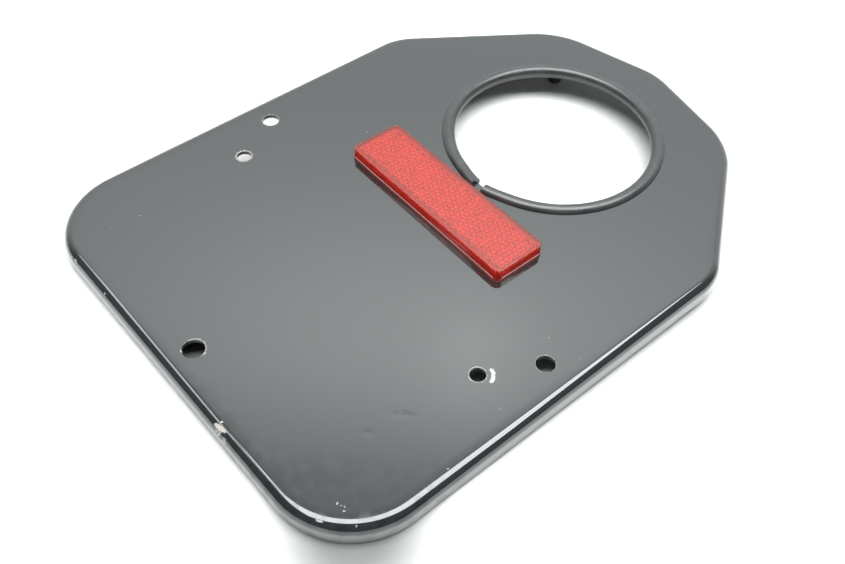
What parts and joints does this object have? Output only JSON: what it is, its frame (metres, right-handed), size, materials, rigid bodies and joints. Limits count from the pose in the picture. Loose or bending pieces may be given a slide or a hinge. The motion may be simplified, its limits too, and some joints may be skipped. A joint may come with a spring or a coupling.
{
  "type": "tail tidy",
  "caption": "Black pressed-steel motorbike tail tidy with a pointed top, turned-down edge, rubber-trimmed round lamp opening, fixing holes and a red reflector.",
  "frame": {"origin": "Under the middle of the plate's outline, level with the ends of the studs, on which the part stands.", "axes": "+Z out of the plate's face, which carries the reflector; +Y from the square end to the pointed end; +X to the right when the face is seen with the pointed end up."},
  "size_m": [0.18, 0.2418, 0.0181],
  "materials": {
    "gloss_black_paint": "gloss black paint with small chips, scuffs and worn rings at the holes",
    "trim_rubber": "matte black extruded rubber",
    "stud_steel": "black painted thread",
    "lens_red": "clear red, glossy, prismatic behind the face",
    "back_plastic": "matte grey",
    "pad_foam": "black foam adhesive pad"
  },
  "bodies": {
    "root": {"backing_plate": "gloss_black_paint", "edge_trim": "trim_rubber", "fixing_studs": "stud_steel", "reflector_lens": "lens_red", "reflector_back": "back_plastic", "adhesive_pad": "pad_foam"}
  },
  "joints": []
}
